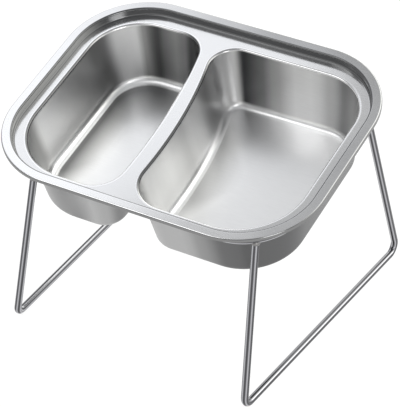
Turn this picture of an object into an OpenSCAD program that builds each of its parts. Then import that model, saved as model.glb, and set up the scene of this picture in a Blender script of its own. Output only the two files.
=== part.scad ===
// Double pet bowl: a pressed stainless tray with two drawn bowls, tilted towards the
// animal, that drops into a ring of round wire carried by two U-shaped wire legs.
// X runs along the tray's long side, Y runs from the low front to the raised back,
// Z points up and the stand's runs lie on Z = 0.

/* [Tray frame] */
// Length of the tray over its rim, left to right
tray_w = 300; // [280:1:320]
// Width of the tray over its rim, front to back
tray_d = 235; // [220:1:250]
// Radius of the rim's corners, at the outer edge
tray_corner_r = 71.5; // [66:0.5:78]
// Thickness of the sheet steel
sheet = 0.8; // [0.6:0.1:1]
// Width of the flat rim, outer edge to step
flange_w = 7.75; // [6.5:0.25:8.5]
// Height of the turned-down lip, measured from the top of the rim
lip_h = 3.2; // [2.5:0.1:4.5]
// Outer radius of the bend between rim and lip
lip_r = 1.3; // [1.1:0.1:1.8]
// Depth of the step between the rim and the ledge
ledge_drop = 7.5; // [6:0.25:9]
// Radius of the two bends of the step, on the side that shows
step_r = 1.6; // [1.2:0.1:2.2]

/* [Bowls] */
// Depth of both bowls, from the ledge to the inside of the floor
bowl_depth = 61; // [52:1:70]
// Distance from the rim's outer edge to a bowl's wall, at the left and right ends
side_inset = 20.5; // [19:0.25:23]
// Distance from the rim's outer edge to the bowls' walls, at the front
front_inset = 17.5; // [16.5:0.25:20]
// Distance from the rim's outer edge to the bowls' walls, at the back
back_inset = 24.25; // [22:0.25:28]
// Radius of the bowls' corners at the tray's two front corners
front_corner_r = 58; // [52:1:64]
// Radius of the bowls' corners at the tray's two back corners
back_corner_r = 45.5; // [40:0.5:50]
// Radius of the small bowl's two corners at the divider
small_corner_r = 26.5; // [23:0.5:32]
// Radius of the large bowl's front corner at the divider
large_front_corner_r = 30.5; // [25:0.5:35]
// Radius of the large bowl's back corner at the divider
large_back_corner_r = 22; // [20:0.5:28]
// Rounding from the ledge into a bowl
mouth_r = 2.2; // [1.6:0.1:3]
// Rounding between a bowl's wall and its floor
floor_r = 6.5; // [5:0.5:9]
// Lean of the walls away from upright, in degrees
draft_angle = 7.5; // [5:0.5:9]

/* [Divider] */
// Where the middle of the divider lies at its furthest right, from the tray's middle
divider_x = -14.25; // [-20:0.25:-8]
// Width of the divider there, wall to wall
divider_w = 17; // [15:0.5:20]
// How far forward of the tray's middle the divider bulges most
divider_forward = 42; // [30:1:50]
// Radius of the divider's edge on the small bowl's side
divider_small_r = 560; // [460:10:700]
// Radius of the divider's edge on the large bowl's side
divider_large_r = 440; // [360:10:560]

/* [Stand] */
// Diameter of the wire
wire_d = 6.5; // [5.5:0.25:7.5]
// Tilt of the tray, front edge down, in degrees
tilt = 14.5; // [10:0.5:18]
// Height of the middle of the rim above the floor
rim_h = 196.5; // [180:0.5:215]
// How far the middle of the tray lies forward of the middle of the stand
tray_forward = 25; // [18:1:34]
// How far the right run's front corner stands in from the tray's right end
right_foot_in = 33.5; // [26:0.5:38]
// How far the left run's front corner stands in from the tray's left end
left_foot_in = 30; // [24:0.5:36]
// How far both runs' back corners stand in from the tray's ends
back_foot_in = 22.5; // [16:0.5:30]
// Distance from the stand's middle to the right run's front corner, forwards
right_foot_y = 135.5; // [128:0.5:146]
// Distance from the stand's middle to the left run's front corner, forwards
left_foot_y = 122.5; // [114:0.5:136]
// Distance from the stand's middle to the back corners of both runs
back_foot_y = 139.5; // [130:0.5:148]
// Radius of the bends at the floor, to the middle of the wire
bend_r = 9; // [8:0.5:14]
// Depth of the flat that each run is ground to where it stands
foot_flat = 0.3; // [0.25:0.05:0.4]

/* [Seat and welds] */
// Gap between the ring's wire and the bowls that drop into it
ring_clearance = 1.5; // [1.2:0.1:2]
// Gap left between the top of the ring and the ledge above it
seat_gap = 0.3; // [0.2:0.05:0.5]
// Where the right leg's front meets the ring's corner, in degrees round from the side
right_weld_angle = 55.5; // [45:0.5:70]
// Where the left leg's front meets the ring's corner, in degrees round from the side
left_weld_angle = 78; // [60:0.5:86]
// Where the backs of both legs meet the ring's corners, in degrees round from the side
back_weld_angle = 36.5; // [30:0.5:55]
// Gap between the legs' ends and the ring, which the weld beads bridge
weld_gap = 0.1; // [0.05:0.05:0.3]
// How far the weld beads stand out from the wire
bead_crown = 1.25; // [1:0.05:1.5]

/* [Hidden] */
right_foot_x = tray_w / 2 - right_foot_in;
left_foot_x = tray_w / 2 - left_foot_in;
back_foot_x = tray_w / 2 - back_foot_in;

$fn = 64;

// Segments of each bowl corner, of a bend in the sheet and of the divider's long edge
corner_steps = 13;
bend_steps = 6;
divider_steps = 16;

// Facets round the legs' wire and segments along each of its bends
wire_sides = 32;
wire_bend_steps = 10;

// Levels and walls, measured in the tray's own frame: its rim lies on Z = 0
ledge_z = -ledge_drop;
floor_z = ledge_z - bowl_depth;
bowl_left = -tray_w / 2 + side_inset;
bowl_right = tray_w / 2 - side_inset;
bowl_front = -tray_d / 2 + front_inset;
bowl_back = tray_d / 2 - back_inset;
step_in = flange_w + step_r;
ledge_in = step_in + step_r;

// The two long edges of the divider are arcs with these centres
divider_y = -divider_forward;
small_edge_x = divider_x - divider_w / 2 - divider_small_r;
large_edge_x = divider_x + divider_w / 2 - divider_large_r;

// A bowl's section: the mouth's bend ends at inset 0, the wall leans in to the floor's bend
mouth_in = -mouth_r * cos(draft_angle);
mouth_end_z = ledge_z - mouth_r * (1 - sin(draft_angle));
floor_bend_z = floor_z + floor_r * (1 - sin(draft_angle));
floor_in = (mouth_end_z - floor_bend_z) * tan(draft_angle) + floor_r * cos(draft_angle);

// The ring's wire runs round the bowls, under the ledge
wire_r = wire_d / 2;
ring_out = sheet + ring_clearance + wire_r;
ring_w = bowl_right - bowl_left + 2 * ring_out;
ring_d = bowl_back - bowl_front + 2 * ring_out;
ring_corner_r = min(front_corner_r, back_corner_r) + ring_out;
ring_y = (bowl_front + bowl_back) / 2;
ring_z = ledge_z - sheet - seat_gap - wire_r;
run_z = wire_r - foot_flat;
bead_r = wire_r + bead_crown;

// Points of an arc from angle a0 to a1, both ends included
function arc(center, r, a0, a1, steps) =
    [for (i = [0:steps]) let (a = a0 + (a1 - a0) * i / steps) center + r * [cos(a), sin(a)]];

// The same, but the first point is left out where the arc before it already ends there
function next_arc(center, r, a0, a1, steps) =
    [for (i = [1:steps]) let (a = a0 + (a1 - a0) * i / steps) center + r * [cos(a), sin(a)]];

// Middle of a corner at the divider: it lies at height y and touches the long edge's circle
function divider_corner(edge_x, reach, y) =
    [edge_x + sqrt(reach * reach - (y - divider_y) * (y - divider_y)), y];

// Direction of such a corner as seen from the middle of the long edge's circle
function corner_angle(edge_x, corner) = atan2(corner.y - divider_y, corner.x - edge_x);

// A bowl's corner at the left (-1) or right (1) end of the tray, at the front (-1) or back (1)
function end_corner(end, row, r, inset) =
    let (
        x = end < 0 ? bowl_left + r : bowl_right - r,
        y = row < 0 ? bowl_front + r : bowl_back - r,
        a0 = end < 0 ? 135 - 45 * row : 45 * row - 45
    )
    arc([x, y], r - inset, a0, a0 + 90, corner_steps);

// Outline of the small bowl, drawn in by an inset: a D whose long edge bulges to the right
function small_outline(inset) =
    let (
        edge = [small_edge_x, divider_y],
        reach = divider_small_r - small_corner_r,
        front = divider_corner(edge.x, reach, bowl_front + small_corner_r),
        back = divider_corner(edge.x, reach, bowl_back - small_corner_r),
        front_a = corner_angle(edge.x, front),
        back_a = corner_angle(edge.x, back),
        inner_r = small_corner_r - inset
    )
    concat(
        end_corner(-1, -1, front_corner_r, inset),
        arc(front, inner_r, -90, front_a, corner_steps),
        next_arc(edge, divider_small_r - inset, front_a, back_a, divider_steps),
        next_arc(back, inner_r, back_a, 90, corner_steps),
        end_corner(-1, 1, back_corner_r, inset)
    );

// Outline of the large bowl, drawn in by an inset: its left edge follows the same bulge
function large_outline(inset) =
    let (
        edge = [large_edge_x, divider_y],
        front = divider_corner(
            edge.x, divider_large_r + large_front_corner_r, bowl_front + large_front_corner_r
        ),
        back = divider_corner(
            edge.x, divider_large_r + large_back_corner_r, bowl_back - large_back_corner_r
        ),
        front_a = corner_angle(edge.x, front),
        back_a = corner_angle(edge.x, back)
    )
    concat(
        end_corner(1, -1, front_corner_r, inset),
        end_corner(1, 1, back_corner_r, inset),
        arc(back, large_back_corner_r - inset, 90, 180 + back_a, corner_steps),
        next_arc(edge, divider_large_r + inset, back_a, front_a, divider_steps),
        next_arc(front, large_front_corner_r - inset, 180 + front_a, 270, corner_steps)
    );

// Section of a bowl's wall as [inset, height] points from mouth to floor.
// back is 0 on the side that shows and the sheet's thickness on the far side.
function bowl_section(back) =
    concat(
        arc([mouth_in, ledge_z - mouth_r], mouth_r - back, 90, draft_angle, bend_steps),
        arc([floor_in, floor_z + floor_r], floor_r + back, 180 + draft_angle, 270, bend_steps)
    );

// Points of the outlines at every level of a section
function lofted(small, section) =
    [for (s = section, p = small ? small_outline(s.x) : large_outline(s.x)) [p.x, p.y, s.y]];

// A drawn bowl: down the inside, across the floor, up the outside and round the mouth
module bowl(small) {
    inside = bowl_section(0);
    outside = bowl_section(sheet);
    n = len(small ? small_outline(0) : large_outline(0));
    levels = len(inside);
    base = n * levels;
    points = concat(lofted(small, inside), lofted(small, outside));
    inner_faces = [
        for (k = [0:levels - 2], i = [0:n - 1])
            let (a = k * n + i, b = k * n + (i + 1) % n)
                each [[a, b + n, b], [a, a + n, b + n]]
    ];
    outer_faces = [
        for (k = [0:levels - 2], i = [0:n - 1])
            let (a = base + k * n + i, b = base + k * n + (i + 1) % n)
                each [[a, b, b + n], [a, b + n, a + n]]
    ];
    mouth_faces = [
        for (i = [0:n - 1])
            let (a = i, b = (i + 1) % n)
                each [[a, base + b, base + a], [a, b, base + b]]
    ];
    inner_floor = [[for (i = [n - 1:-1:0]) base - n + i]];
    outer_floor = [[for (i = [0:n - 1]) 2 * base - n + i]];
    polyhedron(
        points,
        concat(inner_faces, outer_faces, mouth_faces, inner_floor, outer_floor),
        convexity = 6
    );
}

// Carries the profile that it is given round a rounded rectangle. The profile is drawn
// with its X = 0 on the path and its X pointing outwards.
module around(w, d, r) {
    for (i = [0:3]) {
        across = i % 2 == 0 ? w : d;
        along = i % 2 == 0 ? d : w;
        rotate(90 * i) {
            translate([across / 2 - r, along / 2 - r, 0])
                rotate_extrude(angle = 90)
                    translate([r, 0]) children();
            translate([across / 2, 0, 0])
                rotate([90, 0, 0])
                    linear_extrude(height = along - 2 * r, center = true) children();
        }
    }
}

// Section of the rim: lip, flat flange, step and the start of the ledge
module rim_section() {
    top = [-flange_w, -step_r];
    bottom = [-ledge_in, ledge_z + step_r];
    lip = [-lip_r, -lip_r];
    polygon(concat(
        [[0, -lip_h]],
        arc(lip, lip_r, 0, 90, bend_steps),
        arc(top, step_r, 90, 180, bend_steps),
        arc(bottom, step_r, 0, -90, bend_steps),
        [[-ledge_in - step_r, ledge_z], [-ledge_in - step_r, ledge_z - sheet]],
        arc(bottom, step_r + sheet, -90, 0, bend_steps),
        arc(top, step_r - sheet, 180, 90, bend_steps),
        arc(lip, lip_r - sheet, 90, 0, bend_steps),
        [[-sheet, -lip_h]]
    ));
}

// The flat ledge and divider, with the two mouths cut out of it
module deck() {
    inset = ledge_in + step_r / 2;
    r = tray_corner_r - inset;
    translate([0, 0, ledge_z - sheet])
        linear_extrude(height = sheet)
            difference() {
                union() {
                    square([tray_w - 2 * inset, tray_d - 2 * tray_corner_r], center = true);
                    square([tray_w - 2 * tray_corner_r, tray_d - 2 * inset], center = true);
                    for (x = [-1, 1], y = [-1, 1])
                        translate([x * (tray_w / 2 - tray_corner_r), y * (tray_d / 2 - tray_corner_r)])
                            circle(r);
                }
                polygon(small_outline(mouth_in));
                polygon(large_outline(mouth_in));
            }
}

// Puts what is drawn in the tray's frame where the stand holds it
module on_stand() {
    translate([0, -tray_forward, rim_h]) rotate([tilt, 0, 0]) children();
}

// The same turn for one direction and the same move for one point
function turned(v) = [
    v.x,
    v.y * cos(tilt) - v.z * sin(tilt),
    v.y * sin(tilt) + v.z * cos(tilt)
];
function to_stand(p) = [0, -tray_forward, rim_h] + turned(p);

// A point in the middle of the ring's wire, on its front (-1) or back (1) right corner
function ring_point(end, angle) = to_stand([
    ring_w / 2 - ring_corner_r * (1 - cos(angle)),
    ring_y + end * (ring_d / 2 - ring_corner_r * (1 - sin(angle))),
    ring_z
]);

// The ring's direction at that point
function ring_along(end, angle) = turned([-sin(angle), end * cos(angle), 0]);

// A leg's path on the right: top of its front, both corners at the floor, top of its back
function leg_path(weld_angle, foot_x, foot_y) = [
    ring_point(-1, weld_angle),
    [foot_x, -foot_y, run_z],
    [back_foot_x, back_foot_y, run_z],
    ring_point(1, back_weld_angle)
];

function unit(v) = v / norm(v);

// A place on a wire: its middle, its direction and a direction square to that
function station(middle, along, square_to) = [middle, along, square_to];

// Stations round the bend at corner b, between straights that come from a and go to c
function bend_stations(a, b, c) =
    let (
        along = unit(b - a),
        onward = unit(c - b),
        turn = acos(along * onward),
        inward = unit(onward - (along * onward) * along),
        start = b - along * bend_r * tan(turn / 2)
    )
    [
        for (i = [0:wire_bend_steps])
            let (t = turn * i / wire_bend_steps)
                station(
                    start + bend_r * (along * sin(t) + inward * (1 - cos(t))),
                    along * cos(t) + inward * sin(t),
                    cross(along, inward)
                )
    ];

// Points round the wire at one station
function round_points(s) = [
    for (i = [0:wire_sides - 1])
        let (a = 360 * i / wire_sides)
            s[0] + wire_r * (s[2] * cos(a) + cross(s[1], s[2]) * sin(a))
];

// The face in which a leg ends, as [point, normal]: it lies along the ring's underside
function end_face(ring_middle, down, along_ring) =
    let (normal = unit(down - (down * along_ring) * along_ring))
        [ring_middle + normal * (wire_r + weld_gap), normal];

// Points moved along the wire until they lie in such a face
function slid(points, along, face) = [
    for (p = points) p + along * ((face[0] - p) * face[1]) / (along * face[1])
];

// Round wire carried through a list of stations, cut to a face at both ends and ground
// flat where it would pass below the floor
module wire(stations, first_face, last_face) {
    last = len(stations) - 1;
    n = wire_sides;
    rings = [for (s = stations) round_points(s)];
    points = concat(
        slid(rings[0], stations[0][1], first_face),
        [for (k = [1:last - 1], p = rings[k]) [p.x, p.y, max(p.z, 0)]],
        slid(rings[last], stations[last][1], last_face)
    );
    sides = [
        for (k = [0:last - 1], i = [0:n - 1])
            let (a = k * n + i, b = k * n + (i + 1) % n)
                each [[a, a + n, b + n], [a, b + n, b]]
    ];
    first_end = [[for (i = [0:n - 1]) i]];
    last_end = [[for (i = [n - 1:-1:0]) last * n + i]];
    polyhedron(points, concat(sides, first_end, last_end), convexity = 6);
}

// The ring's wire, in the tray's frame
module ring_wire() {
    translate([0, ring_y, ring_z]) around(ring_w, ring_d, ring_corner_r) circle(wire_r);
}

// A leg on the right: its front, its run along the floor and its back
module leg(weld_angle, foot_x, foot_y) {
    p = leg_path(weld_angle, foot_x, foot_y);
    front = bend_stations(p[0], p[1], p[2]);
    back = bend_stations(p[1], p[2], p[3]);
    upward = unit(p[3] - p[2]);
    wire(
        concat(
            [station(p[0], front[0][1], front[0][2])],
            front,
            back,
            [station(p[3], upward, back[0][2])]
        ),
        end_face(p[0], front[0][1], ring_along(-1, weld_angle)),
        end_face(p[3], -upward, ring_along(1, back_weld_angle))
    );
}

// A weld bead round a wire that runs up Z, with the wire's own place left open
module bead() {
    rotate_extrude()
        intersection() {
            circle(bead_r);
            translate([wire_r, -bead_r]) square([bead_crown, 2 * bead_r]);
        }
}

// The bead at the top of a leg, against the underside of the ring
module leg_bead(top, foot) {
    down = unit(foot - top);
    translate(top + down * wire_r)
        rotate([0, acos(down.z), atan2(down.y, down.x)])
            bead();
}

// Both beads of a leg, cut to the ring's wire
module leg_beads(weld_angle, foot_x, foot_y) {
    p = leg_path(weld_angle, foot_x, foot_y);
    difference() {
        union() {
            leg_bead(p[0], p[1]);
            leg_bead(p[3], p[2]);
        }
        on_stand() ring_wire();
    }
}

module tray_frame() {
    color("lightgray")
        on_stand() {
            around(tray_w, tray_d, tray_corner_r) rim_section();
            deck();
        }
}

module small_bowl() {
    color("silver") on_stand() bowl(true);
}

module large_bowl() {
    color("silver") on_stand() bowl(false);
}

module seat_ring() {
    color("gainsboro") on_stand() ring_wire();
}

module left_leg() {
    color("gainsboro") mirror([1, 0, 0]) leg(left_weld_angle, left_foot_x, left_foot_y);
}

module right_leg() {
    color("gainsboro") leg(right_weld_angle, right_foot_x, right_foot_y);
}

module leg_welds() {
    color("darkgray") {
        leg_beads(right_weld_angle, right_foot_x, right_foot_y);
        mirror([1, 0, 0]) leg_beads(left_weld_angle, left_foot_x, left_foot_y);
    }
}

// The bead that closes the ring is ground nearly level with the wire under the tray
module ring_weld() {
    color("darkgray")
        on_stand()
            translate([0, ring_y + ring_d / 2, ring_z])
                difference() {
                    rotate([0, 90, 0]) bead();
                    translate([0, 0, wire_r + seat_gap / 3 + bead_r]) cube(2 * bead_r, center = true);
                }
}

tray_frame();
small_bowl();
large_bowl();
seat_ring();
left_leg();
right_leg();
leg_welds();
ring_weld();
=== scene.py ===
# Double pet bowl: a satin tray with two drawn bowls that rests in a stand of polished wire.
import math
import random

import bmesh
import bpy
from mathutils import Matrix, Vector
from mathutils.geometry import tessellate_polygon


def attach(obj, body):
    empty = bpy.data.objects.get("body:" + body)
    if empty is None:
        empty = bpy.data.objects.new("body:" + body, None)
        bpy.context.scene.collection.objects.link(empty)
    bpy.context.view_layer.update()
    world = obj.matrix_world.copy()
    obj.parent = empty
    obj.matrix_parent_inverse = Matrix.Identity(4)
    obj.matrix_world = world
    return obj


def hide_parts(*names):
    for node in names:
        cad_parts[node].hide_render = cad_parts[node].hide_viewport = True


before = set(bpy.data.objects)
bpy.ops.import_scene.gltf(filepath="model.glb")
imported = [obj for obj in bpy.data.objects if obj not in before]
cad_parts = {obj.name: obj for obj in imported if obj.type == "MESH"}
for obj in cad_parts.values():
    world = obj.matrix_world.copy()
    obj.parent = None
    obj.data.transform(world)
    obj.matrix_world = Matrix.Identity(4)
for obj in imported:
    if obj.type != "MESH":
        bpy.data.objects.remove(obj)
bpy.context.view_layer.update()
mm = 0.001
print("frame loaded")


# Shared geometry

seat = {
    "tilt": 14.5,  # degrees, front edge down
    "rimHeight": 196.5 * mm,  # middle of the rim above the floor
    "forward": 25 * mm,  # middle of the tray in front of the stand's middle
}


def onStand(point):
    # from the tray's own frame, which lies in its rim, to the frame that stands on the floor
    t = math.radians(seat["tilt"])
    x, y, z = point
    return Vector((
        x,
        -seat["forward"] + y * math.cos(t) - z * math.sin(t),
        seat["rimHeight"] + y * math.sin(t) + z * math.cos(t),
    ))


def trayDirection(x, y, z):
    return (onStand((x, y, z)) - onStand((0, 0, 0))).normalized()


def ramp(value, low, high):
    # 0 up to low, 1 from high on, straight in between
    return min(1.0, max(0.0, (value - low) / (high - low)))


def arc(centre, radius, start, end, steps):
    points = []
    for i in range(steps + 1):
        a = math.radians(start + (end - start) * i / steps)
        points.append((centre[0] + radius * math.cos(a), centre[1] + radius * math.sin(a)))
    return points


def corner(centre, radius, start, end, steps, runIn=0.0, runOut=0.0):
    # an arc with a short straight before and after it, so that the flats beside it stay flat
    points = arc(centre, radius, start, end, steps)
    turn = 1 if end > start else -1
    if runIn:
        a = math.radians(start)
        before = (points[0][0] + runIn * turn * math.sin(a), points[0][1] - runIn * turn * math.cos(a))
        points.insert(0, before)
    if runOut:
        a = math.radians(end)
        after = (points[-1][0] - runOut * turn * math.sin(a), points[-1][1] + runOut * turn * math.cos(a))
        points.append(after)
    return points


def joinRings(first, second, count):
    # the quads between two closed rings of vertices that start at these numbers
    return [
        (first + i, first + (i + 1) % count, second + (i + 1) % count, second + i)
        for i in range(count)
    ]


def addPiece(name, points, faces, body, node, slotName, material, sharpAngle, shares=None):
    # shares gives each vertex its part of the material's painted dark reflections and shade, and of its satin
    # roughness
    mesh = bpy.data.meshes.new(name)
    mesh.from_pydata([tuple(p) for p in points], [], faces)
    for label, values in (shares or {}).items():
        mesh.attributes.new(label, "FLOAT", "POINT").data.foreach_set("value", values)
    work = bmesh.new()
    work.from_mesh(mesh)
    bmesh.ops.recalc_face_normals(work, faces=work.faces)
    work.to_mesh(mesh)
    work.free()
    mesh.shade_smooth()
    mesh.set_sharp_from_angle(angle=math.radians(sharpAngle))
    mesh.materials.append(material)
    piece = bpy.data.objects.new(name, mesh)
    bpy.context.scene.collection.objects.link(piece)
    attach(piece, body)
    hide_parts(node)


# Shader nodes

def feed(tree, socket, source):
    # link a socket, or give it a constant
    if isinstance(source, bpy.types.NodeSocket):
        tree.links.new(source, socket)
    else:
        socket.default_value = source


def addNode(tree, kind, sources, settings=None):
    node = tree.nodes.new(kind)
    for label, value in (settings or {}).items():
        setattr(node, label, value)
    for label, source in sources.items():
        feed(tree, node.inputs[label], source)
    return node


def mixColours(tree, factor, first, second):
    # a colour mix has its factor at socket 0, its colours at 6 and 7 and its result at 2
    sources = {0: factor, 6: first, 7: second}
    return addNode(tree, "ShaderNodeMix", sources, {"data_type": "RGBA"}).outputs[2]


def calculate(tree, operation, first, second):
    sources = {0: first, 1: second}
    return addNode(tree, "ShaderNodeMath", sources, {"operation": operation}).outputs["Value"]


def makeGroup(name, inputs, outputs):
    group = bpy.data.node_groups.new(name, "ShaderNodeTree")
    for label, kind, value in inputs:
        item = group.interface.new_socket(label, in_out="INPUT", socket_type=kind)
        item.default_value = value
    for label, kind in outputs:
        group.interface.new_socket(label, in_out="OUTPUT", socket_type=kind)
    return group, group.nodes.new("NodeGroupInput"), group.nodes.new("NodeGroupOutput")


# Steel

brushing = {
    # scales are per metre; the lines' own scale is each steel's
    "lines": {"Detail": 3.0, "Roughness": 0.65},
    "clouds": {"Scale": 22.0, "Detail": 2.0},
    "waves": {"Scale": 9.0, "Detail": 1.0},
}


def makeBrushedGrain():
    # fine polishing lines along X and a slow cloudiness, as on satin sheet
    group, inside, outside = makeGroup(
        "brushed grain",
        [
            ("Lines Per Metre", "NodeSocketFloat", 1500.0),
            ("Stretch", "NodeSocketFloat", 0.05),
            ("Grain Roughness", "NodeSocketFloat", 0.1),
            ("Base Roughness", "NodeSocketFloat", 0.25),
            ("Cloudiness", "NodeSocketFloat", 0.06),
            ("Light Colour", "NodeSocketColor", (0.7, 0.7, 0.7, 1)),
            ("Dark Colour", "NodeSocketColor", (0.6, 0.6, 0.6, 1)),
            ("Waviness", "NodeSocketFloat", 0.2),
            # share and colour of the painted dark reflections and shade
            ("Painted_shade", "NodeSocketFloat", 0.0),
            ("Satin", "NodeSocketFloat", 0.0),
            ("Satin Roughness", "NodeSocketFloat", 0.2),
            ("Painted Shade Colour", "NodeSocketColor", (0.4, 0.4, 0.4, 1)),
        ],
        [("Colour", "NodeSocketColor"), ("Roughness", "NodeSocketFloat"), ("Height", "NodeSocketFloat")],
    )
    given = inside.outputs
    place = group.nodes.new("ShaderNodeTexCoord").outputs["Object"]
    stretch = addNode(group, "ShaderNodeCombineXYZ", {"X": given["Stretch"], "Y": 1.0, "Z": 1.0})
    sources = {0: place, 1: stretch.outputs["Vector"]}
    along = addNode(group, "ShaderNodeVectorMath", sources, {"operation": "MULTIPLY"}).outputs["Vector"]
    sources = {"Vector": along, "Scale": given["Lines Per Metre"], **brushing["lines"]}
    lines = addNode(group, "ShaderNodeTexNoise", sources).outputs["Fac"]
    clouds = addNode(group, "ShaderNodeTexNoise", {"Vector": place, **brushing["clouds"]}).outputs["Fac"]
    waves = addNode(group, "ShaderNodeTexNoise", {"Vector": place, **brushing["waves"]}).outputs["Fac"]

    grain = calculate(group, "MULTIPLY", lines, given["Grain Roughness"])
    cloud = calculate(group, "MULTIPLY", clouds, given["Cloudiness"])
    satin = calculate(group, "MULTIPLY", given["Satin"], given["Satin Roughness"])
    wave = calculate(group, "MULTIPLY", waves, given["Waviness"])
    smooth = calculate(group, "ADD", calculate(group, "ADD", given["Base Roughness"], grain), cloud)
    bright = mixColours(group, lines, given["Dark Colour"], given["Light Colour"])
    feed(group, outside.inputs["Roughness"], calculate(group, "ADD", smooth, satin))
    # painted dark reflections and shade: each vertex's share darkens the colour towards the painted shade
    # colour
    feed(group, outside.inputs["Colour"], mixColours(group, given["Painted_shade"], bright, given["Painted Shade Colour"]))
    feed(group, outside.inputs["Height"], calculate(group, "ADD", grain, wave))
    return group


brushedGrain = makeBrushedGrain()


def makeSteel(name, values):
    material = bpy.data.materials.new(name)
    material.use_nodes = True
    tree = material.node_tree
    shader = tree.nodes["Principled BSDF"]
    feed(tree, shader.inputs["Metallic"], 1.0)
    grain = tree.nodes.new("ShaderNodeGroup")
    grain.node_tree = brushedGrain
    for label, value in values["grain"].items():
        feed(tree, grain.inputs[label], value)
    # each vertex's shares of painted dark reflections and shade, and of satin roughness
    for label in ("Painted_shade", "Satin"):
        share = tree.nodes.new("ShaderNodeAttribute")
        share.attribute_name = label.lower()
        feed(tree, grain.inputs[label], share.outputs["Fac"])
    sources = {
        "Distance": values["bumpDepth"],
        "Strength": values["bumpStrength"],
        "Height": grain.outputs["Height"],
    }
    bump = addNode(tree, "ShaderNodeBump", sources)
    feed(tree, shader.inputs["Base Color"], grain.outputs["Colour"])
    feed(tree, shader.inputs["Roughness"], grain.outputs["Roughness"])
    feed(tree, shader.inputs["Normal"], bump.outputs["Normal"])
    return material


satinSheet = {
    "grain": {
        "Lines Per Metre": 1400.0,
        "Stretch": 0.06,
        "Grain Roughness": 0.08,
        "Base Roughness": 0.10,
        "Cloudiness": 0.05,
        "Light Colour": (0.97, 0.97, 0.965, 1),
        "Dark Colour": (0.86, 0.86, 0.86, 1),
        "Waviness": 0.3,
        "Satin Roughness": 0.17,
        # colour of the painted dark reflections and shade on the sheet
        "Painted Shade Colour": (0.03, 0.031, 0.033, 1),
    },
    "bumpDepth": 0.12 * mm,
    "bumpStrength": 0.5,
}
polishedWire = {
    "grain": {
        "Lines Per Metre": 900.0,
        "Stretch": 1.0,
        "Grain Roughness": 0.05,
        "Base Roughness": 0.10,
        "Cloudiness": 0.05,
        "Light Colour": (0.74, 0.74, 0.77, 1),
        "Dark Colour": (0.60, 0.60, 0.63, 1),
        "Waviness": 0.1,
        # colour of the painted dark reflection lines on the wire
        "Painted Shade Colour": (0.06, 0.06, 0.065, 1),
    },
    "bumpDepth": 0.06 * mm,
    "bumpStrength": 0.4,
}
weldMetal = {
    "grain": {
        "Lines Per Metre": 1200.0,
        "Stretch": 1.0,
        "Grain Roughness": 0.16,
        "Base Roughness": 0.22,
        "Cloudiness": 0.12,
        "Light Colour": (0.30, 0.295, 0.29, 1),
        "Dark Colour": (0.15, 0.147, 0.147, 1),
        "Waviness": 0.6,
    },
    "bumpDepth": 0.2 * mm,
    "bumpStrength": 0.6,
}
sheetSteel = makeSteel("satin stainless sheet", satinSheet)
wireSteel = makeSteel("polished stainless wire", polishedWire)
weldSteel = makeSteel("cleaned weld", weldMetal)
print("materials made")


# Tray: lip, flange, step, ledge and divider, and the two bowls

tray = {
    "width": 300 * mm,
    "depth": 235 * mm,
    "cornerRadius": 71.5 * mm,
    "sheet": 0.8 * mm,
    "flangeWidth": 7.75 * mm,
    "lipHeight": 3.2 * mm,
    "lipRadius": 1.3 * mm,
    "ledgeDrop": 7.5 * mm,
    "stepRadius": 1.6 * mm,
    "cornerSteps": 28,
    "bendSteps": 8,
    "flatEdge": 0.6 * mm,  # how near its ends a flat is pinned flat
    "runLength": 2 * mm,  # straight pinned beside each corner
    "straightLimit": 10 * mm,  # longer straights are cut up
    "straightStep": 8 * mm,  # into pieces up to this long
    "sharpAngle": 40,
    # shares of painted shade: a little on the ledge and divider, and a dark painted reflection line down the
    # step and along the lip
    "flatPaintedShade": 0.12,
    "stepPaintedShade": 0.88,
    "stepEdge": 0.3 * mm,  # how far into the step the flats' tone reaches
    "lipPaintedShade": 0.78,
}
bowls = {
    "depth": 61 * mm,
    "sideInset": 20.5 * mm,
    "frontInset": 17.5 * mm,
    "backInset": 24.25 * mm,
    "frontCorner": 58 * mm,
    "backCorner": 45.5 * mm,
    "smallCorner": 26.5 * mm,
    "largeFrontCorner": 30.5 * mm,
    "largeBackCorner": 22 * mm,
    "mouthRadius": 2.2 * mm,
    "floorRadius": 6.5 * mm,
    "draft": 7.5,  # degrees
    "floorCrown": 0.5 * mm,  # how far the middle of a floor stands up
    "deckOverlap": 0.8 * mm,  # flat border round each mouth
    "wallRows": [0.03, 0.3, 0.65, 0.97],  # from the mouth's bend to the floor's
    "floorRings": [0.97, 0.9, 0.78, 0.64, 0.5, 0.36, 0.22, 0.1],
    "cornerSteps": 24,
    "bendSteps": 9,
    "satinFrom": 0.6,  # share of the mouth's bend that stays polished
    "edgeReflectionRows": 2,  # rows over which the mouth's painted reflections fade in and out
    "shadeFrom": 0.3,  # share of the floor's reach at which its shade starts
    "shadeFull": 0.9,  # and at which it is full
    "undersidePaintedShade": 0.7,  # painted shade at the middle of a bowl's underside
}
divider = {
    "middle": -14.25 * mm,
    "width": 17 * mm,
    "forward": 42 * mm,
    "smallRadius": 560 * mm,
    "largeRadius": 440 * mm,
    "steps": 24,
}
# Shares of painted dark reflections and shade by degrees, anticlockwise from the right. Down the inside of
# each bowl:
wallPaintedReflections = {
    "small_bowl": {
        30: 0.0, 50: 0.3, 64: 0.95, 78: 0.92, 84: 0.66, 90: 0.55, 94: 0.7, 100: 0.9, 108: 0.65, 113: 0.05,
        124: 0.05, 131: 0.45, 138: 0.36, 150: 0.05, 175: 0.0, 216: 0.0, 226: 0.53, 245: 0.75, 258: 0.0,
    },
    "large_bowl": {
        30: 0.0, 40: 0.26, 50: 0.6, 60: 0.78, 68: 0.45, 78: 0.1, 88: 0.12, 100: 0.55, 110: 0.85, 118: 0.98,
        123: 0.45, 127: 0.62, 132: 0.1, 138: 0.25, 146: 0.5, 158: 0.2, 175: 0.3, 190: 0.45, 205: 0.35,
        215: 0.3, 228: 0.4, 240: 0.68, 252: 0.0,
    },
}
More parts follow.
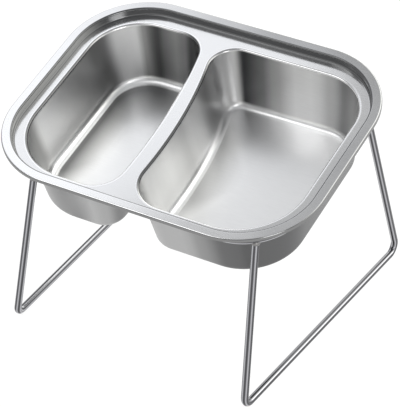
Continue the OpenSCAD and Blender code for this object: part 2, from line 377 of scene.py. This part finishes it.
# down its outside:
outsidePaintedReflections = {
    "small_bowl": {180: 0.66, 262: 0.73, 272: 0.68, 283: 0.54, 291: 0.6, 299: 0.79, 320: 0.79, 350: 0.66},
    "large_bowl": {
        0: 0.82, 180: 0.66, 240: 0.66, 250: 0.57, 266: 0.57, 276: 0.74, 287: 0.89, 330: 0.91, 345: 0.86,
    },
}
# at the rolled edge of its mouth:
edgePaintedReflections = {
    "small_bowl": {40: 0.0, 50: 0.9, 75: 0.9, 95: 0.3, 125: 0.3, 145: 0.9, 250: 0.9, 270: 0.0},
    "large_bowl": {30: 0.2, 110: 0.3, 128: 0.5, 143: 0.97, 235: 0.97, 255: 0.0},
}
# near the edge of its floor:
floorShade = {
    "small_bowl": {45: 0.0, 70: 0.45, 100: 0.72, 150: 0.86, 220: 0.84, 250: 0.1, 270: 0.0},
    "large_bowl": {20: 0.0, 50: 0.1, 75: 0.0, 130: 0.0, 150: 0.38, 215: 0.4, 240: 0.0},
}
# round the flange:
rimPaintedReflections = {
    0: 0.28, 20: 0.28, 40: 0.38, 55: 0.5, 80: 0.56, 100: 0.43, 130: 0.25, 150: 0.13, 170: 0.05, 190: 0.02,
    230: 0.0, 300: 0.0, 312: 0.02, 325: 0.17, 345: 0.24,
}
ledgeLevel = -tray["ledgeDrop"]
floorLevel = ledgeLevel - bowls["depth"]
bowlLeft = -tray["width"] / 2 + bowls["sideInset"]
bowlRight = tray["width"] / 2 - bowls["sideInset"]
bowlFront = -tray["depth"] / 2 + bowls["frontInset"]
bowlBack = tray["depth"] / 2 - bowls["backInset"]
runLength = tray["runLength"]


def cutStraights(points):
    # a closed outline with its long straights cut up, so that the painted reflections and shade have points
    # to sit on
    result = []
    for a, b in zip(points, points[1:] + points[:1]):
        length = math.dist(a, b)
        count = math.ceil(length / tray["straightStep"]) if length > tray["straightLimit"] else 1
        result += [(a[0] + (b[0] - a[0]) * k / count, a[1] + (b[1] - a[1]) * k / count) for k in range(count)]
    return result


def rimOutline(inset):
    # a rounded rectangle, anticlockwise from the right front corner
    r = tray["cornerRadius"]
    x, y = tray["width"] / 2 - r, tray["depth"] / 2 - r
    steps = tray["cornerSteps"]
    points = []
    for centre, start in (((x, -y), -90), ((x, y), 0), ((-x, y), 90), ((-x, -y), 180)):
        points += corner(centre, r - inset, start, start + 90, steps, runLength, runLength)
    return cutStraights(points)


def paintedShare(stops, angle):
    # the share at this direction, eased between the stops on either side
    angles = sorted(stops)
    if angle < angles[0]:
        angle += 360
    before = max(a for a in angles if a <= angle)
    after = min((a for a in angles if a > angle), default=angles[0] + 360)
    t = (angle - before) / (after - before)
    t = t * t * (3 - 2 * t)
    return stops[before] * (1 - t) + stops.get(after, stops[angles[0]]) * t


def directions(outline, middle=(0.0, 0.0)):
    return [math.degrees(math.atan2(y - middle[1], x - middle[0])) % 360 for x, y in outline]


def centreOf(outline):
    return (sum(p[0] for p in outline) / len(outline), sum(p[1] for p in outline) / len(outline))


def dividerCorner(edgeX, reach, y):
    rise = y + divider["forward"]
    return (edgeX + math.sqrt(reach * reach - rise * rise), y)


def cornerAngle(edgeX, centre):
    return math.degrees(math.atan2(centre[1] + divider["forward"], centre[0] - edgeX))


def endCorner(end, row, inset):
    # a bowl's corner at the left (-1) or right (1) end of the tray, at the front (-1) or back (1)
    r = bowls["frontCorner"] if row < 0 else bowls["backCorner"]
    x = bowlLeft + r if end < 0 else bowlRight - r
    y = bowlFront + r if row < 0 else bowlBack - r
    start = 135 - 45 * row if end < 0 else 45 * row - 45
    return corner((x, y), r - inset, start, start + 90, bowls["cornerSteps"], runLength, runLength)


def smallOutline(inset):
    edgeX = divider["middle"] - divider["width"] / 2 - divider["smallRadius"]
    reach = divider["smallRadius"] - bowls["smallCorner"]
    front = dividerCorner(edgeX, reach, bowlFront + bowls["smallCorner"])
    back = dividerCorner(edgeX, reach, bowlBack - bowls["smallCorner"])
    frontAngle, backAngle = cornerAngle(edgeX, front), cornerAngle(edgeX, back)
    inner = bowls["smallCorner"] - inset
    n = bowls["cornerSteps"]
    points = endCorner(-1, -1, inset)
    points += corner(front, inner, -90, frontAngle, n, runLength)
    edge = (edgeX, -divider["forward"])
    points += arc(edge, divider["smallRadius"] - inset, frontAngle, backAngle, divider["steps"])[1:]
    points += corner(back, inner, backAngle, 90, n, 0, runLength)[1:]
    points += endCorner(-1, 1, inset)
    return cutStraights(points)


def largeOutline(inset):
    edgeX = divider["middle"] + divider["width"] / 2 - divider["largeRadius"]
    frontCorner, backCorner = bowls["largeFrontCorner"], bowls["largeBackCorner"]
    front = dividerCorner(edgeX, divider["largeRadius"] + frontCorner, bowlFront + frontCorner)
    back = dividerCorner(edgeX, divider["largeRadius"] + backCorner, bowlBack - backCorner)
    frontAngle, backAngle = cornerAngle(edgeX, front), cornerAngle(edgeX, back)
    n = bowls["cornerSteps"]
    points = endCorner(1, -1, inset)
    points += endCorner(1, 1, inset)
    points += corner(back, backCorner - inset, 90, 180 + backAngle, n, runLength)
    edge = (edgeX, -divider["forward"])
    points += arc(edge, divider["largeRadius"] + inset, backAngle, frontAngle, divider["steps"])[1:]
    points += corner(front, frontCorner - inset, 180 + frontAngle, 270, n, 0, runLength)[1:]
    return cutStraights(points)


def rimSection():
    # [inset, height] from the foot of the lip over the flange and the step to the ledge, and back below
    r, s = tray["stepRadius"], tray["sheet"]
    lip, f, n = tray["lipRadius"], tray["flatEdge"], tray["bendSteps"]
    lipFoot = -tray["lipHeight"]
    stepTop = (tray["flangeWidth"], -r)
    stepBottom = (tray["flangeWidth"] + 2 * r, ledgeLevel + r)
    ledgeEnd = stepBottom[0] + f
    top = [(0, lipFoot), (0, lipFoot + f / 2), (0, -lip - f / 2)]
    top += arc((lip, -lip), lip, 180, 90, n)
    top += [(lip + f, 0), (tray["flangeWidth"] - f, 0)]
    top += arc(stepTop, r, 90, 0, n)
    top += arc(stepBottom, r, 180, 270, n)
    top += [(ledgeEnd, ledgeLevel)]
    under = [(ledgeEnd, ledgeLevel - s)]
    under += arc(stepBottom, r + s, 270, 180, n)
    under += arc(stepTop, r - s, 0, 90, n)
    under += [(tray["flangeWidth"] - f, -s), (lip + f, -s)]
    under += arc((lip, -lip), lip - s, 90, 180, n)
    under += [(s, -lip - f / 2), (s, lipFoot + f / 2), (s, lipFoot)]
    return top, under


def rimShares(section, count):
    # painted reflection bands round the flange, painted dark lines on the lip and the step, and a little
    # painted shade on the flats
    flange = [paintedShare(rimPaintedReflections, a) for a in directions(rimOutline(0))]
    shares = []
    for inset, _ in section:
        if inset < tray["lipRadius"] / 2:
            shares += [tray["lipPaintedShade"]] * count
        elif inset < tray["flangeWidth"] + tray["stepEdge"]:
            shares += flange
        elif inset < tray["flangeWidth"] + 2 * tray["stepRadius"] - tray["stepEdge"]:
            shares += [tray["stepPaintedShade"]] * count
        else:
            shares += [tray["flatPaintedShade"]] * count
    return shares


def mouthStart():
    # inset of the flat border that belongs to a bowl
    return -bowls["mouthRadius"] * math.cos(math.radians(bowls["draft"])) - bowls["deckOverlap"]


def deckFaces(points, level, inset, rimLoop):
    # one side of the ledge and the divider; its two mouths' points are added to points
    mouths = [outline(mouthStart()) for outline in (smallOutline, largeOutline)]
    loops = [rimLoop]
    for mouth in mouths:
        loops.append(list(range(len(points), len(points) + len(mouth))))
        points += [onStand((x, y, level)) for x, y in mouth]
    numbers = [n for loop in loops for n in loop]
    flat = [[Vector((*xy, 0)) for xy in loop] for loop in [rimOutline(inset)] + mouths]
    faces = [tuple(numbers[i] for i in triangle) for triangle in tessellate_polygon(flat)]
    return faces, loops[1:]


def buildTray():
    top, under = rimSection()
    section = top + under
    count = len(rimOutline(0))
    points, faces = [], []
    for inset, height in section:
        points += [onStand((x, y, height)) for x, y in rimOutline(inset)]
    for k in range(len(section)):
        if k != len(top) - 1:
            faces += joinRings(k * count, (k + 1) % len(section) * count, count)
    painted_shade = rimShares(section, count)
    mouthLoops = []
    for level, rimRing in ((ledgeLevel, len(top) - 1), (ledgeLevel - tray["sheet"], len(top))):
        rimLoop = list(range(rimRing * count, (rimRing + 1) * count))
        deck, loops = deckFaces(points, level, section[rimRing][0], rimLoop)
        faces += deck
        mouthLoops.append(loops)
    for upper, lower in zip(*mouthLoops):
        faces += joinRings(upper[0], lower[0], len(upper))
    # a little painted shade on the whole deck
    painted_shade += [tray["flatPaintedShade"]] * (len(points) - len(painted_shade))
    finish = (sheetSteel, tray["sharpAngle"], {"painted_shade": painted_shade})
    addPiece("tray_pressing", points, faces, "tray", "tray_frame", "satin_sheet", *finish)


def bowlSection(back):
    # [inset, height] of a bowl's wall; back is the sheet's thickness on the far side
    a, r, f = bowls["draft"], bowls["mouthRadius"], bowls["floorRadius"]
    t = math.radians(a)
    mouthIn = -r * math.cos(t)
    mouthEnd = ledgeLevel - r * (1 - math.sin(t))
    floorBend = floorLevel + f * (1 - math.sin(t))
    floorIn = (mouthEnd - floorBend) * math.tan(t) + f * math.cos(t)
    n = bowls["bendSteps"]
    mouth = arc((mouthIn, ledgeLevel - r), r - back, 90, a, n)
    fillet = arc((floorIn, floorLevel + f), f + back, 180 + a, 270, n)
    (x0, z0), (x1, z1) = mouth[-1], fillet[0]
    wall = [(x0 + (x1 - x0) * k, z0 + (z1 - z0) * k) for k in bowls["wallRows"]]
    return [(mouthStart(), ledgeLevel - back)] + mouth + wall + fillet


def insideShares(node, angles, rows):
    # painted dark reflections and shade, and satin roughness, of the inner skin's points: its wall row by
    # row, then its floor
    wallReflections = [paintedShare(wallPaintedReflections[node], a) for a in angles]
    edges = [paintedShare(edgePaintedReflections[node], a) for a in angles]
    shade = [paintedShare(floorShade[node], a) for a in angles]
    bend, fade = bowls["bendSteps"], bowls["edgeReflectionRows"]
    painted_shade, satin = [], []
    for k in range(rows):
        fromMouth = ramp(k, bend * bowls["satinFrom"], bend)
        fromFloor = ramp(rows - 1 - k, 0, bend)
        onEdge = min(ramp(k, 1, 1 + fade), ramp(bend + fade - k, 0, fade))
        painted_shade += [max(m * fromMouth * fromFloor, e * onEdge) for m, e in zip(wallReflections, edges)]
        satin += [fromMouth] * len(angles)
    for s in bowls["floorRings"]:
        painted_shade += [m * ramp(s, bowls["shadeFrom"], bowls["shadeFull"]) for m in shade]
        satin += [1.0] * len(angles)
    return painted_shade + [0.0], satin + [1.0]


def outsideShares(node, angles, rows):
    count = rows + len(bowls["floorRings"])
    # painted dark reflections down the outside, the same on every row, and painted shade under the middle
    painted_shade = [paintedShare(outsidePaintedReflections[node], a) for a in angles] * count
    satin = [1.0] * len(angles) * count
    return painted_shade + [bowls["undersidePaintedShade"]], satin + [1.0]


def buildBowl(name, node, outline):
    mouth = outline(0)
    count = len(mouth)
    angles = directions(mouth, centreOf(mouth))
    points, faces = [], []
    shares = {"painted_shade": [], "satin": []}
    starts = []
    for back, skinShares in ((0, insideShares), (tray["sheet"], outsideShares)):
        section = bowlSection(back)
        side = []
        for inset, height in section:
            side.append(len(points))
            points += [onStand((x, y, height)) for x, y in outline(inset)]
        edge = outline(section[-1][0])
        middle = centreOf(edge)
        for s in bowls["floorRings"]:
            side.append(len(points))
            lift = bowls["floorCrown"] * (1 - s * s) ** 2
            for x, y in edge:
                flat = (middle[0] + (x - middle[0]) * s, middle[1] + (y - middle[1]) * s)
                points.append(onStand((*flat, floorLevel - back + lift)))
        for first, second in zip(side, side[1:]):
            faces += joinRings(first, second, count)
        centre = len(points)
        points.append(onStand((*middle, floorLevel - back + bowls["floorCrown"])))
        faces += [(side[-1] + i, side[-1] + (i + 1) % count, centre) for i in range(count)]
        starts.append(side[0])
        # painted dark reflections and shade of this skin, and its satin roughness
        painted_shade, satin = skinShares(node, angles, len(section))
        shares["painted_shade"] += painted_shade
        shares["satin"] += satin
    faces += joinRings(starts[0], starts[1], count)
    finish = (sheetSteel, tray["sharpAngle"], shares)
    addPiece(name, points, faces, "tray", node, "satin_sheet", *finish)


buildTray()
buildBowl("small_bowl_drawn", "small_bowl", smallOutline)
buildBowl("large_bowl_drawn", "large_bowl", largeOutline)
print("tray and bowls built")


# Stand: ring and legs

stand = {
    "wireRadius": 3.25 * mm,
    "ringClearance": 1.5 * mm,
    "seatGap": 0.3 * mm,
    "backFootX": 127.5 * mm,
    "backFootY": 139.5 * mm,
    "bendRadius": 9 * mm,
    "footFlat": 0.3 * mm,
    "backWeldAngle": 36.5,  # degrees round the ring's corner, where a leg's back meets it
    "legEnd": 0.8,  # wire radii from the ring's middle to a leg's end
    "runLength": 1.5 * mm,  # straight pinned beside each bend
    "wireSides": 48,
    "cornerSteps": 32,
    "bendSteps": 20,
    "sharpAngle": 50,
    "reflectionStripes": 6,  # painted dark reflection lines round the wire
    "stripeTurn": 14,  # degrees from square to a leg's bends to the first one
    "stripeSoftness": 0.28,  # the lower, the wider the dark lines
}
legs = {
    # side: where its front bend stands, and the degrees where its front meets the ring's corner
    "right": {"footX": 116.5 * mm, "footY": 135.5 * mm, "weldAngle": 55.5},
    "left": {"footX": 120 * mm, "footY": 122.5 * mm, "weldAngle": 78},
}
wireRadius = stand["wireRadius"]
ringOut = tray["sheet"] + stand["ringClearance"] + wireRadius
ringWidth = bowlRight - bowlLeft + 2 * ringOut
ringDepth = bowlBack - bowlFront + 2 * ringOut
ringCorner = min(bowls["frontCorner"], bowls["backCorner"]) + ringOut
ringY = (bowlFront + bowlBack) / 2
ringZ = ledgeLevel - tray["sheet"] - stand["seatGap"] - wireRadius
runZ = wireRadius - stand["footFlat"]


def reflectionStripe(angle):
    # share of painted shade round the wire: long dark lines that paint reflections onto the bright wire
    fold = abs((angle + math.pi) % (2 * math.pi) - math.pi)
    wave = 0.5 + 0.5 * math.cos(stand["reflectionStripes"] * (fold - math.radians(stand["stripeTurn"])))
    return wave ** stand["stripeSoftness"]


def sweepWire(stations, closed=False):
    # stations are (middle, direction, square to it); returns points, faces and the painted reflection stripes
    sides = stand["wireSides"]
    turns = [2 * math.pi * i / sides for i in range(sides)]
    points, faces = [], []
    for middle, along, across in stations:
        other = along.cross(across)
        points += [middle + wireRadius * (across * math.cos(a) + other * math.sin(a)) for a in turns]
    last = (len(stations) - 1) * sides
    for k in range(len(stations) - 1):
        faces += joinRings(k * sides, (k + 1) * sides, sides)
    if closed:
        faces += joinRings(last, 0, sides)
    else:
        faces.append(tuple(range(sides)))
        faces.append(tuple(range(last, last + sides)))
    return points, faces, [reflectionStripe(a) for a in turns] * len(stations)


def ringStations():
    x, y = ringWidth / 2 - ringCorner, ringDepth / 2 - ringCorner
    up = trayDirection(0, 0, 1)
    stations = []
    for cx, cy, start in ((x, -y, -90), (x, y, 0), (-x, y, 90), (-x, -y, 180)):
        for px, py in arc((cx, ringY + cy), ringCorner, start, start + 90, stand["cornerSteps"]):
            place = onStand((px, py, ringZ))
            along = trayDirection(ringY + cy - py, px - cx, 0)
            stations.append((place, along, up))
    return stations


def ringPoint(end, angle):
    a = math.radians(angle)
    x = ringWidth / 2 - ringCorner * (1 - math.cos(a))
    y = ringY + end * (ringDepth / 2 - ringCorner * (1 - math.sin(a)))
    return onStand((x, y, ringZ))


def legPath(side):
    # as if it were on the right: both tops and the two corners at the floor
    return [
        ringPoint(-1, legs[side]["weldAngle"]),
        Vector((legs[side]["footX"], -legs[side]["footY"], runZ)),
        Vector((stand["backFootX"], stand["backFootY"], runZ)),
        ringPoint(1, stand["backWeldAngle"]),
    ]


def bendStations(a, b, c):
    along, onward = (b - a).normalized(), (c - b).normalized()
    turn = along.angle(onward)
    inward = (onward - along * onward.dot(along)).normalized()
    start = b - along * stand["bendRadius"] * math.tan(turn / 2)
    axis = along.cross(inward)
    stations = []
    for i in range(stand["bendSteps"] + 1):
        t = turn * i / stand["bendSteps"]
        middle = start + stand["bendRadius"] * (along * math.sin(t) + inward * (1 - math.cos(t)))
        stations.append((middle, along * math.cos(t) + inward * math.sin(t), axis))
    return stations


def legStations(p):
    # the leg starts and ends inside the ring's wire, where it is welded
    front, back = bendStations(p[0], p[1], p[2]), bendStations(p[1], p[2], p[3])
    inset = stand["legEnd"] * wireRadius
    pinned = stand["runLength"]

    def ends(station, tip, sign):
        middle, along, across = station
        return [(tip + sign * along * inset, along, across), (middle - sign * along * pinned, along, across)]

    run = (p[2] - p[1]).normalized()
    pins = [(front[-1][0] + run * pinned, run, front[-1][2]), (back[0][0] - run * pinned, run, back[0][2])]
    return ends(front[0], p[0], 1) + front + pins + back + list(reversed(ends(back[-1], p[3], -1)))


def buildLeg(name, node, side):
    points, faces, painted_shade = sweepWire(legStations(legPath(side)))
    for p in points:
        # the underside of the run is ground to the floor's level
        p.z = max(p.z, 0.0)
        if side == "left":
            p.x = -p.x
    # painted dark reflection stripes along the leg
    finish = (wireSteel, stand["sharpAngle"], {"painted_shade": painted_shade})
    addPiece(name, points, faces, "stand", node, "polished_wire", *finish)


def buildRing():
    points, faces, painted_shade = sweepWire(ringStations(), closed=True)
    # painted dark reflection stripes round the ring
    finish = (wireSteel, stand["sharpAngle"], {"painted_shade": painted_shade})
    addPiece("ring_wire", points, faces, "stand", "seat_ring", "polished_wire", *finish)


# Welds

beads = {
    "crown": 0.7 * mm,  # how far a bead stands out from the wire
    "length": 2.2 * mm,  # from the ring's underside down the leg
    "crownAt": 0.75,  # wire radii from the ring's middle down to a bead's widest part
    "endAt": 0.4,  # and to its end, which is inside the ring
    "sunk": 0.3 * mm,  # how far that end lies inside the leg
    "flareStart": 0.12,  # where on a quarter wave a bead's flare starts
    "flarePower": 1.4,  # the higher, the later it swells
    "flareTop": 0.98,  # share of the crown that it reaches
    "ringHalf": 2.4 * mm,  # half the length of the ring's own bead
    "ringCrown": 0.9,  # share of the crown that this one reaches
    "ringSunk": 0.2 * mm,  # how far its ends lie inside the wire
    "profileSteps": 8,
    "ripples": 15,
    "rippleDepth": 0.1 * mm,
    "ripplePeak": 1.2,  # how high a ripple's middle rises, in depths
    "rippleSpread": 0.5,  # how much that varies from dab to dab
    "sizeSpread": 0.12,  # how much a dab's own size varies
    "steps": 60,
    "sharpAngle": 60,
    "seed": 4,
}


def beadShape(base, along, across, profile):
    # a ring of weld round a wire, with the ripples that each dab of filler leaves
    draw = random.Random(beads["seed"])
    other = along.cross(across)
    wobble = [draw.uniform(-1, 1) for _ in range(beads["ripples"])]
    steps, deep = beads["steps"], beads["rippleDepth"]
    points, faces = [], []
    for offset, out in profile:
        for i in range(steps):
            a = 2 * math.pi * i / steps
            dab = i * beads["ripples"] / steps
            own = wobble[int(dab)]
            ripple = abs(math.sin(math.pi * dab)) * deep * (beads["ripplePeak"] + beads["rippleSpread"] * own)
            r = wireRadius + out * (1 + beads["sizeSpread"] * own)
            if out > 0:
                r -= deep - ripple
            points.append(base + along * offset + r * (across * math.cos(a) + other * math.sin(a)))
    for k in range(len(profile) - 1):
        faces += joinRings(k * steps, (k + 1) * steps, steps)
    faces += joinRings((len(profile) - 1) * steps, 0, steps)
    return points, faces


def buildLegBeads():
    # four beads, each flaring from the leg into the underside of the ring
    profile = []
    for k in range(beads["profileSteps"] + 1):
        t = k / beads["profileSteps"]
        flare = math.sin(math.pi * (beads["flareStart"] + (1 - beads["flareStart"]) * t) / 2)
        out = beads["crown"] * flare ** beads["flarePower"] * beads["flareTop"]
        profile.append((beads["length"] * (1 - t) + wireRadius * beads["crownAt"], out))
    profile.append((wireRadius * beads["endAt"], -beads["sunk"]))
    points, faces = [], []
    for side, sign in (("right", 1), ("left", -1)):
        path = legPath(side)
        for top, foot in ((path[0], path[1]), (path[3], path[2])):
            down = (foot - top).normalized()
            across = down.orthogonal().normalized()
            ring, quads = beadShape(top, down, across, profile)
            start = len(points)
            points += [Vector((sign * p.x, p.y, p.z)) for p in ring]
            faces += [tuple(start + n for n in quad) for quad in quads]
    finish = (weldSteel, beads["sharpAngle"])
    addPiece("leg_weld_beads", points, faces, "stand", "leg_welds", "weld", *finish)


def buildRingBead():
    # the butt weld at the middle of the ring's back, ground level with the wire under the tray
    base = onStand((0, ringY + ringDepth / 2, ringZ))
    up = trayDirection(0, 0, 1)
    half = beads["ringHalf"]
    profile = [(-half, -beads["ringSunk"])]
    for k in range(beads["profileSteps"] + 1):
        t = k / beads["profileSteps"]
        profile.append((half * (2 * t - 1), beads["crown"] * beads["ringCrown"] * math.sin(math.pi * t)))
    profile.append((half, -beads["ringSunk"]))
    points, faces = beadShape(base, Vector((1, 0, 0)), up, profile)
    for p in points:
        proud = (p - base).dot(up) - wireRadius
        if proud > 0:
            p -= up * proud
    finish = (weldSteel, beads["sharpAngle"])
    addPiece("ring_weld_bead", points, faces, "stand", "ring_weld", "weld", *finish)


buildRing()
buildLeg("right_leg_wire", "right_leg", "right")
buildLeg("left_leg_wire", "left_leg", "left")
buildLegBeads()
buildRingBead()
print("stand built")


# Studio: pale floor, sky, soft lights and the camera

studio = {
    "floorSize": 30.0,  # metres
    "floorColour": (0.93, 0.93, 0.93, 1),
    "floorWhite": 1.1,
    "floorGlow": 0.84,  # share of that white in what the camera and the metal see
    "skyDark": (0.512, 0.518, 0.53, 1),
    "skyLight": (2.9, 2.9, 2.8, 1),
    "skyLightSide": (0.55, 0.83, 0.0),  # behind on the right
    "skyLightSpan": (0.15, 0.8),  # cosines towards that side, from dark to light
    "horizon": (1.0, 1.0, 1.0, 1),
    "horizonSpan": (0.42, 0.12),  # from the ceiling's colour down to the horizon's, by height
}
softboxes = {
    # name: middle, aimed at, width, height, strength in watts, colour
    "key": ((-0.723, 0.443, 1.036), (-0.103, 0.093, 0.116), 0.72, 0.60, 0.84, (0.93, 0.95, 1)),
    "front left": ((-0.62, -0.62, 1.35), (0.05, 0.0, 0.15), 0.70, 0.70, 2.6, (1, 1, 1)),
    "front right": ((0.95, -0.80, 0.55), (0.0, 0.0, 0.15), 0.45, 0.90, 4.2, (1, 1, 1)),
}
cameraView = {
    "target": (0.06493, -0.12203, 0.183),
    "azimuth": 29.36,  # degrees to the right of the front
    "elevation": 33.85,  # degrees above level
    "roll": 0.5,  # degrees
    "distance": 1.6575,
    "lens": 182.64,  # millimetres
    "sensor": 36.0,  # millimetres
    "clip": (0.05, 100),
}


def makeFloorMaterial():
    # matt, so that it keeps the object's shadow, and mostly white to the camera, in gloss and through glass
    material = bpy.data.materials.new("pale floor")
    material.use_nodes = True
    tree = material.node_tree
    tree.nodes.clear()
    matt = addNode(tree, "ShaderNodeBsdfDiffuse", {"Color": studio["floorColour"]})
    white = addNode(tree, "ShaderNodeEmission", {"Strength": studio["floorWhite"]})
    path = tree.nodes.new("ShaderNodeLightPath")
    seen = path.outputs["Is Camera Ray"]
    for ray in ("Is Glossy Ray", "Is Transmission Ray"):
        seen = calculate(tree, "MAXIMUM", seen, path.outputs[ray])
    share = calculate(tree, "MULTIPLY", seen, studio["floorGlow"])
    sources = {0: share, 1: matt.outputs["BSDF"], 2: white.outputs["Emission"]}
    mix = addNode(tree, "ShaderNodeMixShader", sources)
    addNode(tree, "ShaderNodeOutputMaterial", {"Surface": mix.outputs["Shader"]})
    return material


def makeFloor():
    half = studio["floorSize"] / 2
    corners = [(-half, -half, 0), (half, -half, 0), (half, half, 0), (-half, half, 0)]
    mesh = bpy.data.meshes.new("floor")
    mesh.from_pydata(corners, [], [(0, 1, 2, 3)])
    mesh.materials.append(makeFloorMaterial())
    floor = bpy.data.objects.new("floor", mesh)
    bpy.context.scene.collection.objects.link(floor)


def smoothStep(tree, value, span):
    sources = {"Value": value, "From Min": span[0], "From Max": span[1]}
    settings = {"interpolation_type": "SMOOTHSTEP"}
    return addNode(tree, "ShaderNodeMapRange", sources, settings).outputs["Result"]


def makeSky():
    # a white horizon under a dimmer ceiling, which is lighter behind on the right
    world = bpy.data.worlds.new("studio")
    bpy.context.scene.world = world
    world.use_nodes = True
    tree = world.node_tree
    tree.nodes.clear()
    place = tree.nodes.new("ShaderNodeTexCoord").outputs["Generated"]
    sources = {0: place, 1: Vector(studio["skyLightSide"]).normalized()}
    toward = addNode(tree, "ShaderNodeVectorMath", sources, {"operation": "DOT_PRODUCT"})
    height = addNode(tree, "ShaderNodeSeparateXYZ", {"Vector": place})
    side = smoothStep(tree, toward.outputs["Value"], studio["skyLightSpan"])
    low = smoothStep(tree, height.outputs["Z"], studio["horizonSpan"])
    ceiling = mixColours(tree, side, studio["skyDark"], studio["skyLight"])
    dome = mixColours(tree, low, ceiling, studio["horizon"])
    glow = addNode(tree, "ShaderNodeBackground", {"Color": dome})
    addNode(tree, "ShaderNodeOutputWorld", {"Surface": glow.outputs["Background"]})


def makeSoftbox(name, middle, aim, width, height, power, colour):
    light = bpy.data.lights.new(name, "AREA")
    light.shape = "RECTANGLE"
    light.size, light.size_y = width, height
    light.energy = power
    light.color = colour
    box = bpy.data.objects.new(name, light)
    bpy.context.scene.collection.objects.link(box)
    box.location = middle
    box.rotation_mode = "QUATERNION"
    box.rotation_quaternion = (Vector(aim) - Vector(middle)).to_track_quat("-Z", "Y")
    box.visible_camera = False


def makeCamera():
    a, e = math.radians(cameraView["azimuth"]), math.radians(cameraView["elevation"])
    back = Vector((math.sin(a) * math.cos(e), -math.cos(a) * math.cos(e), math.sin(e)))
    right = (-back).cross(Vector((0, 0, 1))).normalized()
    up = right.cross(-back)
    turn = Matrix.Rotation(math.radians(cameraView["roll"]), 3, back)
    right, up = turn @ right, turn @ up
    lens = bpy.data.cameras.new("camera")
    lens.lens, lens.sensor_width = cameraView["lens"], cameraView["sensor"]
    lens.clip_start, lens.clip_end = cameraView["clip"]
    camera = bpy.data.objects.new("camera", lens)
    bpy.context.scene.collection.objects.link(camera)
    camera.matrix_world = Matrix((right, up, back)).transposed().to_4x4()
    camera.location = Vector(cameraView["target"]) + back * cameraView["distance"]
    bpy.context.scene.camera = camera


makeFloor()
makeSky()
for name, values in softboxes.items():
    makeSoftbox(name, *values)
makeCamera()
bpy.context.scene.view_settings.view_transform = "Standard"
print("studio set")
